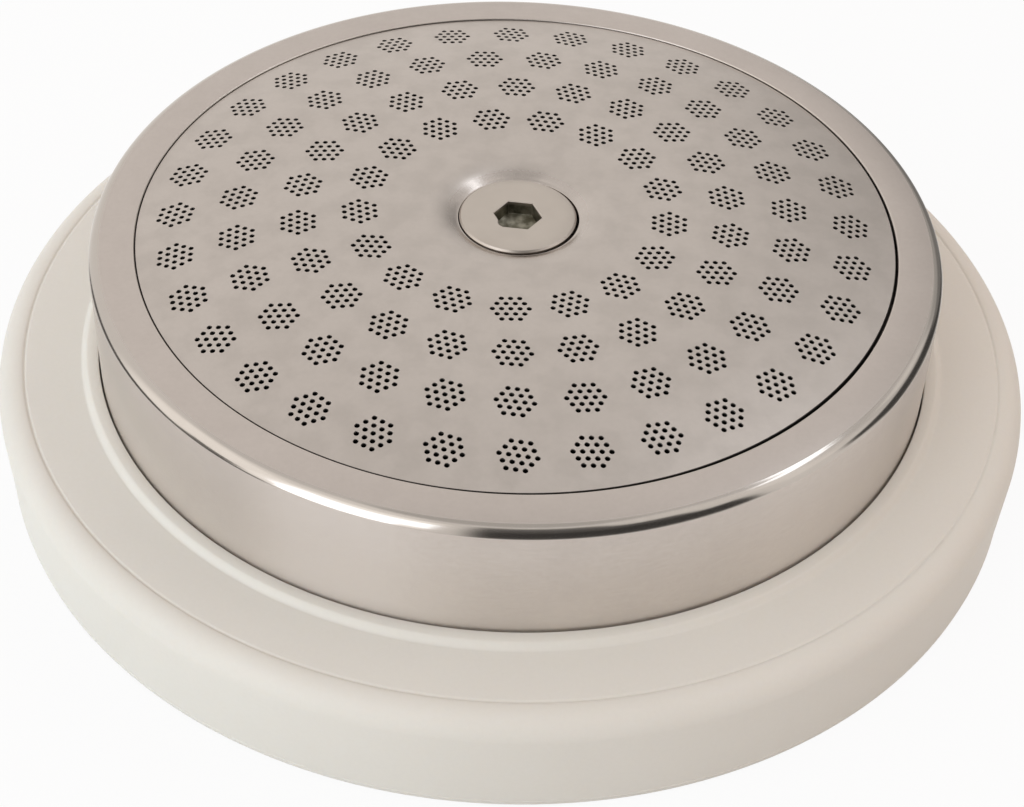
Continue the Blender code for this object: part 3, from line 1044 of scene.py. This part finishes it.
def thread_rows(angles):
    """A ring every twelfth of the pitch, then the chamfer at the tip."""
    top, end = HEAD_TOP - HEAD_HEIGHT - NECK, SCREW_TIP + TIP_CHAMFER
    steps = round((top - end) / THREAD_PITCH * THREAD_ROWS_PER_TURN)
    rows = [(thread(angles, height, top, end), height) for height in np.linspace(top, end, steps + 1)]
    return rows + [(THREAD_RADIUS - TIP_CHAMFER, SCREW_TIP)]


def capped(rows, columns):
    """Faces of an open run of rings, with a flat face on its first and on its last ring."""
    faces = ring_faces(rows, columns).tolist()
    first, last = np.arange(columns), (rows - 1) * columns + np.arange(columns)
    return faces + [first.tolist(), last[::-1].tolist()]


def screw_steel():
    finish = Finish("screw_steel", metallic=1.0)
    radius, height = finish.axes()
    drift = finish.noise(1.5 * MM)
    grain = finish.noise(0.1 * MM)
    # Darker, olive steel inside the socket, from a little below the head's top downwards and inside its
    # edge; it is rougher there too.
    deep = (HEAD_TOP - height).rises(*SOCKET_DARK_BELOW_TOP) * (1 - radius.rises(*SOCKET_DARK_EDGE))
    clean = finish.mix(drift, (0.525, 0.47, 0.42), (0.47, 0.42, 0.375))
    socket_dark = finish.mix(finish.noise(0.5 * MM, 3.0).rises(0.3, 0.7), (0.33, 0.31, 0.25), (0.12, 0.11, 0.08))
    finish.feed(
        base_color=finish.mix(deep, clean, socket_dark),
        roughness=0.28 + drift * 0.08 + deep * 0.12,
        normal=finish.bump(grain, 0.001 * MM),
    )
    return finish


rows = socket_rows(screw_directions) + head_rows() + thread_rows(screw_directions)
screw = add_piece(
    "low_head_screw",
    rings(rows, screw_directions),
    capped(len(rows), SCREW_COLUMNS),
    [screw_steel()],
    sharp=25.0,
)
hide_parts("clamp_screw")

# %% [markdown]
# ## The washer
#
# A thin stamped washer lies under the head, on the well's floor. Its section is a small
# rectangle with broken edges, one of them rounder, as stamping leaves it.

# %% Washer surface
WASHER_COLUMNS = 96
STAMPED_ROUND = 0.1 * MM


def washer_section():
    inner, outer, up, low = SCREW_BORE, WASHER_RADIUS, WASHER_TOP, WASHER_BOTTOM
    broken = EDGE_BREAK
    section = [(inner + broken, up)]
    section += arc((outer - STAMPED_ROUND, up - STAMPED_ROUND), STAMPED_ROUND, 90, 0, 4)
    section += [(outer, low + broken), (outer - broken, low)]
    section += arc((inner + STAMPED_ROUND, low + STAMPED_ROUND), STAMPED_ROUND, 270, 180, 4)
    return section + [(inner, up - broken)]


def washer_steel():
    finish = Finish("washer_steel", metallic=1.0, anisotropic=0.4, anisotropic_rotation=0.25)
    drift = finish.noise(1 * MM)
    finish.feed(
        base_color=finish.mix(drift, (0.57, 0.53, 0.485), (0.51, 0.475, 0.43)),
        roughness=0.28 + drift * 0.12,
    )
    return finish


section = washer_section()
washer = add_piece(
    "stamped_washer",
    rings(section, directions(WASHER_COLUMNS)),
    ring_faces(len(section), WASHER_COLUMNS, closed=True),
    [washer_steel()],
)
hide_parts("screw_washer")

# %% [markdown]
# ## The table and the light
#
# The table is a plain pale sheet. Rays from the camera and from the metal see it nearly white,
# through the emission that Light Path mixes in, and the part that stays diffuse keeps the
# soft shadow under the gasket. The emission lights nothing. Under the cup there is none, so it
# is dark behind the plate's holes, also from straight above.

# %% Table
TABLE_SIZE = 3.0
TABLE_GAP = 0.02 * MM
TABLE_COLOUR = (0.72, 0.715, 0.70)
SEEN_WHITE = 0.92


def table_paint():
    paint = Finish("pale_table", base_color=TABLE_COLOUR, roughness=0.9)
    outside_cup = paint.axes()[0].rises(SHELL_RADIUS, GASKET_INNER)
    share = paint.seen_directly() * outside_cup * SEEN_WHITE
    sheet = Signal(paint, paint.shader.outputs[0])
    white = paint.node("ShaderNodeEmission")
    paint.shows(paint.node("ShaderNodeMixShader", {}, {0: share, 1: sheet, 2: white}))
    return paint.material


def stage(name, points, faces, material):
    """A mesh that belongs to the picture and not to the object."""
    mesh = bpy.data.meshes.new(name)
    mesh.from_pydata(np.reshape(points, (-1, 3)).tolist(), [], faces)
    mesh.materials.append(material)
    thing = bpy.data.objects.new(name, mesh)
    bpy.context.scene.collection.objects.link(thing)
    return thing


corner_signs = np.array([(-1, -1), (1, -1), (1, 1), (-1, 1)])
table_corners = np.column_stack([corner_signs * TABLE_SIZE / 2, np.full(4, -TABLE_GAP)])
stage("table", table_corners, [(0, 1, 2, 3)], table_paint())
print("table", TABLE_SIZE, "m wide")

# %% [markdown]
# The world is an even pale sky, and soft boxes from the left, from behind and from the right
# light the object. Only matt surfaces see them: metal shows what stands round it, and gets a room
# of its own below.

# %% World and lamps
SKY_LIGHT = (0.552, 0.468, 0.438)
SKY_SEEN = (1.0, 0.975, 0.945)


def make_world():
    world = bpy.data.worlds.new("pale_sky")
    world.use_nodes = True
    sky = Nodes(world.node_tree)
    colour = sky.mix(sky.seen_directly(), SKY_LIGHT, SKY_SEEN)
    sky.set(sky.tree.nodes["Background"].inputs["Color"], colour)
    bpy.context.scene.world = world


def direction(azimuth, elevation):
    """Unit vector; azimuth is counted from +X, so -90 is the camera's side."""
    a, e = math.radians(azimuth), math.radians(elevation)
    return Vector((math.cos(e) * math.cos(a), math.cos(e) * math.sin(a), math.sin(e)))


def face_middle(azimuth, elevation, distance):
    """Matrix of something flat at that place, whose -Z looks at the middle of the plate."""
    towards = direction(azimuth, elevation)
    target = Vector((0.0, 0.0, LIP_TOP))
    turn = towards.to_track_quat("Z", "Y").to_matrix().to_4x4()
    return Matrix.Translation(target + towards * distance) @ turn


def soft_box(name, azimuth, elevation, distance, size, radiance, colour):
    """An area lamp that shines at a radiance, where 1 is white; metal doesn't see it."""
    lamp = bpy.data.lights.new(name, "AREA")
    lamp.shape = "RECTANGLE"
    lamp.size, lamp.size_y = size
    lamp.energy = radiance * math.pi * size[0] * size[1]
    lamp.color = colour
    box = bpy.data.objects.new(name, lamp)
    box.matrix_world = face_middle(azimuth, elevation, distance)
    box.visible_glossy = False
    bpy.context.scene.collection.objects.link(box)
    print(name, "at", azimuth, elevation, "degrees, radiance", radiance)


make_world()
cool, warm, daylight = (0.74, 0.90, 1.0), (1.0, 0.97, 0.94), (0.97, 0.985, 1.0)
soft_box("left_low_box", -140, 12, 1.0, (1.1, 0.4), 1.95, cool)
soft_box("left_back_box", 170, 15, 1.0, (0.8, 0.4), 1.55, cool)
soft_box("left_high_box", -140, 35, 1.0, (1.1, 0.5), 1.35, cool)
soft_box("back_box", 90, 35, 1.0, (1.0, 0.5), 1.32, warm)
soft_box("right_high_box", 20, 45, 1.0, (0.8, 0.6), 0.9, warm)
soft_box("right_low_box", 10, 15, 1.0, (0.8, 0.4), 0.15, warm)
soft_box("window_light", -128, 34, 0.9, (0.42, 0.95), 1.35, daylight)
soft_box("strip_light", -1, 40, 0.9, (0.42, 0.62), 0.9, warm)

# %% [markdown]
# ## The room that the metal shows
#
# Bare white all round would leave the steel without contrast, as on a cloudy day outdoors. So the
# metal gets a room: a dome round the table that nothing but reflections can see, and that lights
# and shades nothing. Its brightness is a formula of the direction from the plate. It is white,
# like the background, and patches with soft edges are laid over that, each over the ones before
# it.
#
# A bright window at the left makes the upright streak on the wall and the long highlight on the
# polished round. A strip lamp high at the right makes the short highlight there and the crescent
# beside the screw. It is dark behind the camera, and dark things stand low at the right and at
# the left: they draw the fine dark lines along the round.

# %% Patches of the room
def step(value, low, high):
    """0 below low, 1 above high, smooth between."""
    share = np.clip((value - low) / (high - low), 0, 1)
    return share * share * (3 - 2 * share)


class Patch:
    """A sector of directions round a middle azimuth, between two elevations, all in degrees."""

    def __init__(self, level, middle, half_width, low, high, soft):
        self.level = level
        self.middle = middle
        self.half_width = half_width
        self.low = low
        self.high = high
        self.soft = soft

    def share(self, azimuth, elevation):
        """1 inside the sector, falling to 0 over its soft edge."""
        turn = np.abs(np.mod(azimuth - self.middle + 180, 360) - 180)
        across = 1 - step(turn, self.half_width, self.half_width + self.soft)
        above = step(elevation, self.low - self.soft, self.low)
        return across * above * (1 - step(elevation, self.high, self.high + self.soft))


ROOM = {
    "dim corner at the back right": Patch(level=0.76, middle=42, half_width=22, low=-5, high=90, soft=22),
    "grey wall high at the back": Patch(level=0.88, middle=110, half_width=60, low=58, high=90, soft=8),
    "pale ceiling at the left": Patch(level=1.15, middle=-150, half_width=25, low=56, high=72, soft=6),
    "grey ceiling overhead": Patch(level=0.65, middle=0, half_width=180, low=78, high=90, soft=7),
    "pale wall at the left": Patch(level=1.45, middle=-170, half_width=12, low=-5, high=42, soft=18),
    "pale window frame": Patch(level=1.55, middle=-130, half_width=20, low=0, high=56, soft=4),
    "pale wall at the right": Patch(level=1.15, middle=-13, half_width=6, low=18, high=44, soft=5),
    "pale gap at the back right": Patch(level=1.0, middle=30, half_width=8, low=25, high=35, soft=6),
    "dim thing at the back right": Patch(level=0.52, middle=56, half_width=14, low=8, high=24, soft=10),
    "dark foot of that thing": Patch(level=0.27, middle=46, half_width=16, low=-14, high=8, soft=9),
    "dark thing at the right": Patch(level=0.08, middle=14, half_width=16, low=-12, high=11, soft=7),
    "dark behind the camera, high": Patch(level=0.20, middle=-78, half_width=17, low=-3, high=60, soft=8),
    "dark behind the camera": Patch(level=0.13, middle=-68, half_width=25, low=-3, high=46, soft=6),
    "dark behind the camera, low": Patch(level=0.07, middle=-63, half_width=30, low=-3, high=32, soft=4),
    "dark edge of the table": Patch(level=0.08, middle=-172, half_width=30, low=-14, high=-8, soft=3),
    "dark thing at the left": Patch(level=0.22, middle=-160, half_width=6, low=-14, high=2, soft=3),
    "window": Patch(level=2.6, middle=-126.5, half_width=18.5, low=12, high=43, soft=2),
    "brightest panes, low": Patch(level=3.3, middle=-129, half_width=13.5, low=-3, high=12, soft=1.5),
    "strip lamp, far half": Patch(level=2.8, middle=38, half_width=15, low=53, high=60, soft=1),
    "strip lamp, near half": Patch(level=2.8, middle=10, half_width=14, low=49, high=56, soft=1),
}


def room_level(azimuth, elevation):
    """Brightness in each direction; the table's far part lies below an elevation of 0."""
    level = np.ones(azimuth.shape)
    for patch in ROOM.values():
        share = patch.share(azimuth, elevation)
        level = level * (1 - share) + patch.level * share
    return level


print(len(ROOM), "patches in the room")

# %% [markdown]
# The dome and its floor are one turned grid. Each of its points stores the room's light as a
# colour, and the material shows that colour. Daylight is a little bluer than the room, so the
# brightest parts change from the one tint to the other.

# %% Dome of the room
ROOM_DISTANCE = 1.2
ROOM_COLUMNS = 240
ROOM_FLOOR = 0.3 * MM
ROOM_TOP = 89.9
FLOOR_RADII = (34, 45, 52, 60, 70, 85, 105, 140, 200, 350, 1199)
ROOM_TINT = np.array([1.0, 0.975, 0.945])
DAY_TINT = np.array([0.95, 0.99, 1.05])
DAY_LEVELS = (1.4, 2.4)


def room_points():
    """Rings of the floor, outwards, then of the dome, one for each degree of elevation."""
    rise = np.radians(np.append(np.arange(0, 90), ROOM_TOP))
    floor = [(radius * MM, ROOM_FLOOR) for radius in FLOOR_RADII]
    dome = [(ROOM_DISTANCE * math.cos(e), LIP_TOP + ROOM_DISTANCE * math.sin(e)) for e in rise]
    return rings(floor + dome, directions(ROOM_COLUMNS))


def room_colours(points):
    """The light that comes from each point, as a colour with an alpha of 1."""
    x, y, z = points.reshape(-1, 3).T
    azimuth = np.degrees(np.arctan2(y, x))
    elevation = np.degrees(np.arctan2(z - LIP_TOP, np.hypot(x, y)))
    level = room_level(azimuth, elevation)[:, None]
    day = step(level, *DAY_LEVELS)
    return np.column_stack([level * (ROOM_TINT * (1 - day) + DAY_TINT * day), np.ones(len(x))])


def room_glow():
    """Shows the stored colour, and isn't counted among the lamps."""
    material = bpy.data.materials.new("room_light")
    material.use_nodes = True
    material.cycles.emission_sampling = "NONE"
    glow = Nodes(material.node_tree)
    stored = glow.node("ShaderNodeAttribute", {"attribute_name": "light"})
    glow.shows(glow.node("ShaderNodeEmission", {}, {"Color": stored}))
    return material


def make_room():
    points = room_points()
    faces = ring_faces(points.shape[0], ROOM_COLUMNS).tolist()
    room = stage("room_in_metal", points, faces, room_glow())
    light = room.data.color_attributes.new("light", "FLOAT_COLOR", "POINT")
    light.data.foreach_set("color", room_colours(points).ravel())
    room.visible_camera = False
    room.visible_diffuse = False
    room.visible_shadow = False
    print("room:", len(room.data.vertices), "points")


make_room()
bpy.context.scene.view_settings.view_transform = "Standard"
